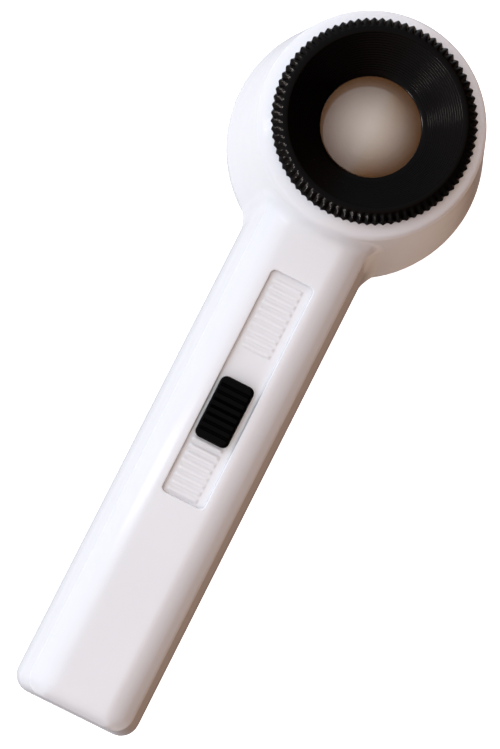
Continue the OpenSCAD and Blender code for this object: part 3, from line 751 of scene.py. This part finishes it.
materials = {
    "white_shell": moulded("white_shell", (0.80, 0.80, 0.82), (0.77, 0.77, 0.79), 0.22, 900, 0.004,
                           Coat_Weight=0.4, Coat_Roughness=0.08, IOR=1.5, Subsurface_Weight=0.5,
                           Subsurface_Radius=(1.0, 0.95, 0.9), Subsurface_Scale=1.2 * MM),
    "black_moulding": moulded("black_moulding", (0.0008, 0.0007, 0.0007), (0.0013, 0.0011, 0.0011), 0.20,
                              2600, 0.004, Specular_IOR_Level=0.03),
    # The lens's beige middle and dark brown rim are painted shade: the shaded page under the head as seen
    # through the glass, not a colour of the glass itself.
    "lens_clear": clear("lens_clear", (0.37, 0.315, 0.275), (0.075, 0.035, 0.015), 12.6, 1.49),
    "lamp_clear": clear("lamp_clear", (0.80, 0.86, 0.98), (0.62, 0.70, 0.90), 40.0, 1.5),
    "seal_rubber": moulded("seal_rubber", (0.012, 0.012, 0.012), (0.020, 0.019, 0.018), 0.55, 1500, 0.01),
    "cream_moulding": moulded("cream_moulding", (0.66, 0.63, 0.54), (0.62, 0.59, 0.50), 0.4, 1100, 0.006),
    "grey_moulding": moulded("grey_moulding", (0.030, 0.030, 0.033), (0.045, 0.044, 0.046), 0.45,
                             1100, 0.012),
    "board_green": moulded("board_green", (0.012, 0.105, 0.035), (0.020, 0.140, 0.050), 0.32, 700, 0.010),
    "resistor_body": moulded("resistor_body", (0.55, 0.43, 0.24), (0.47, 0.36, 0.20), 0.3, 1600, 0.006),
    "cell_can": moulded("cell_can", (0.035, 0.060, 0.110), (0.050, 0.080, 0.135), 0.28,
                        500, 0.004, Metallic=0.6),
    "wire_red": moulded("wire_red", (0.45, 0.012, 0.010), (0.36, 0.010, 0.008), 0.42, 1800, 0.006),
    "wire_black": moulded("wire_black", (0.012, 0.012, 0.013), (0.020, 0.020, 0.021), 0.42, 1800, 0.006),
    "wire_yellow": moulded("wire_yellow", (0.62, 0.42, 0.030), (0.54, 0.36, 0.025), 0.42, 1800, 0.006),
    "contact_metal": metal("contact_metal", (0.62, 0.62, 0.60), (0.55, 0.55, 0.53), 0.22),
    "screw_steel": metal("screw_steel", (0.50, 0.50, 0.49), (0.42, 0.42, 0.41), 0.32),
    "brass_contact": metal("brass_contact", (0.66, 0.47, 0.16), (0.58, 0.40, 0.13), 0.24),
}
REPLACED = {"upper_housing", "focus_ring", "switch_knob"}
slot_of = {part["node"]: part["material_slot"] for part in frame["record"]["subparts"]}

for obj, name in ((shell, "white_shell"), (ring, "black_moulding"), (cap, "black_moulding")):
    obj.data.materials.clear()
    obj.data.materials.append(materials[name])
for name, obj in frame["nodes"].items():
    if name not in REPLACED:
        for slot in obj.material_slots:
            slot.material = materials[slot_of[name]]


# ---------------------------------------------------------------- broken edges of the CAD pieces

# Width of the small bevel on the edges of each piece, in millimetres
EDGE_BREAKS = {"base_plate": 0.25, "battery_door": 0.2, "battery_holder": 0.15, "switch_body": 0.12,
               "switch_actuator": 0.1, "led_holder": 0.1, "lens_retainer": 0.1, "housing_screws": 0.06,
               "board_screws": 0.06}


def break_edges(name, width):
    """Bevels the sharp edges of a CAD piece with modifiers, which leave its own mesh alone."""
    weld = frame["nodes"][name].modifiers.new("weld", "WELD")
    weld.merge_threshold = 0.0005 * MM
    bevel = frame["nodes"][name].modifiers.new("edge break", "BEVEL")
    bevel.width = width * MM
    bevel.segments = 2
    bevel.limit_method = "ANGLE"
    bevel.angle_limit = math.radians(40)
    bevel.harden_normals = True


for name, width in EDGE_BREAKS.items():
    break_edges(name, width)


# ---------------------------------------------------------------- floor, light and camera


def floor():
    """White paper that only the camera sees, so that the surroundings light the part from below too."""
    half = 3000
    corner = [(-half, -half, 0), (half, -half, 0), (half, half, 0), (-half, half, 0)]
    obj = new_object("floor", corner, [(0, 1, 2, 3)])
    material, shader = new_material("floor", (0.9, 0.9, 0.9), 0.6)
    shader.inputs["Emission Color"].default_value = (1, 1, 1, 1)
    shader.inputs["Emission Strength"].default_value = 1.0
    bump(material, shader, noise(material, 400), 0.01 * MM)
    obj.data.materials.append(material)
    obj.visible_diffuse = False
    obj.visible_glossy = False
    obj.visible_shadow = False


def area_light(name, place, target, size, power, color=(1, 1, 1), only=None):
    """Rectangular lamp turned to a target. It lights everything, or only the objects given."""
    data = bpy.data.lights.new(name, "AREA")
    data.shape = "RECTANGLE"
    data.size, data.size_y = size
    data.energy = power
    data.color = color
    obj = bpy.data.objects.new(name, data)
    scene.collection.objects.link(obj)
    place = Vector(place)
    turn = (Vector(target) - place).to_track_quat("-Z", "Y").to_matrix().to_4x4()
    obj.matrix_world = Matrix.Translation(place) @ turn
    if only:
        lit = bpy.data.collections.new(name + "_lights")
        for receiver in only:
            lit.objects.link(receiver)
        obj.light_linking.receiver_collection = lit
    return obj


# Surroundings by direction in the plane across the handle: degrees from straight up, to the right
SKY = ((-180, (0.36, 0.35, 0.38)), (-168, (0.80, 0.80, 0.86)), (-150, (1.08, 1.05, 1.06)),
       (-100, (0.82, 0.81, 0.84)), (-60, (1.14, 1.22, 1.38)), (-20, (1.36, 1.44, 1.56)),
       (0, (1.50, 1.54, 1.60)), (12, (1.18, 0.90, 0.66)), (24, (0.60, 0.24, 0.05)),
       (36, (0.16, 0.02, 0.00)), (50, (0.03, 0.01, 0.01)), (80, (0.14, 0.07, 0.04)),
       (105, (0.34, 0.20, 0.13)), (130, (0.36, 0.26, 0.20)), (148, (0.78, 0.62, 0.52)),
       (164, (0.10, 0.05, 0.03)), (180, (0.36, 0.35, 0.38)))
SKY_PEAK = 1.6


def world_light():
    """Studio surroundings: bright above and cool at the left, falling to warm dark brown at the right."""
    world = bpy.data.worlds.new("studio")
    scene.world = world
    world.use_nodes = True
    tree = world.node_tree
    background = tree.nodes["Background"]
    place = tree.nodes.new("ShaderNodeTexCoord")
    split = tree.nodes.new("ShaderNodeSeparateXYZ")
    tree.links.new(place.outputs["Generated"], split.inputs[0])
    turn = tree.nodes.new("ShaderNodeMath")
    turn.operation = "ARCTAN2"
    tree.links.new(split.outputs["X"], turn.inputs[0])
    tree.links.new(split.outputs["Z"], turn.inputs[1])
    share = tree.nodes.new("ShaderNodeMapRange")
    share.inputs["From Min"].default_value = -math.pi
    share.inputs["From Max"].default_value = math.pi
    tree.links.new(turn.outputs[0], share.inputs["Value"])
    ramp = tree.nodes.new("ShaderNodeValToRGB")
    stops = ramp.color_ramp.elements
    while len(stops) < len(SKY):
        stops.new(0.5)
    for stop, (angle, color) in zip(stops, SKY):
        stop.position = (angle + 180) / 360
        stop.color = (*(c / SKY_PEAK for c in color), 1)
    tree.links.new(share.outputs["Result"], ramp.inputs["Fac"])
    tree.links.new(ramp.outputs["Color"], background.inputs["Color"])
    background.inputs["Strength"].default_value = SKY_PEAK
    white = tree.nodes.new("ShaderNodeBackground")
    white.inputs["Strength"].default_value = 1.0
    path = tree.nodes.new("ShaderNodeLightPath")
    pick = tree.nodes.new("ShaderNodeMixShader")
    tree.links.new(path.outputs["Is Camera Ray"], pick.inputs[0])
    tree.links.new(background.outputs[0], pick.inputs[1])
    tree.links.new(white.outputs[0], pick.inputs[2])
    tree.links.new(pick.outputs[0], tree.nodes["World Output"].inputs["Surface"])


def look_from(place, target, roll):
    """Camera matrix at a place, turned to a target, then rolled about its own axis."""
    view = (target - place).to_track_quat("-Z", "Y").to_matrix().to_4x4()
    return Matrix.Translation(place) @ view @ Matrix.Rotation(roll, 4, "Z")


# Lamps that only the eyepiece sees: name, place, size and power
RING_LAMPS = (("glint_side", (-0.50, -0.21, 0.28), (0.10, 0.10), 7.0),
              ("glint_back", (-0.25, -0.50, 0.28), (0.10, 0.10), 6.0),
              ("teeth", (-0.42, -0.42, 0.09), (0.50, 0.10), 8.0))

floor()
world_light()
# A strip lamp that only the shell sees draws the long streak on the left of the handle
area_light("strip", (-0.35, -0.115, 0.50), (-0.008, -0.07, 0.03), (0.07, 0.36), 0.3,
           (0.95, 0.98, 1.0), [shell])
for lamp, place, extent, power in RING_LAMPS:
    area_light(lamp, place, (0, 0, 0.034), extent, power, (1.0, 0.90, 0.86), [ring])
scene.view_settings.view_transform = "Standard"

# Main view, from a camera fit on the outline and the circles of the part
CAMERA_PLACE = Vector((-0.01084, -0.0759, 0.34625))
CAMERA_TARGET = Vector((0.002, -0.061, 0.0))
CAMERA_ROLL = math.radians(67.67)

camera_data = bpy.data.cameras.new("camera")
camera_data.lens = 68.04
camera_data.sensor_width = 36.0
camera_data.clip_start = 0.01
camera = bpy.data.objects.new("camera", camera_data)
scene.collection.objects.link(camera)
camera.matrix_world = look_from(CAMERA_PLACE, CAMERA_TARGET, CAMERA_ROLL)
scene.camera = camera
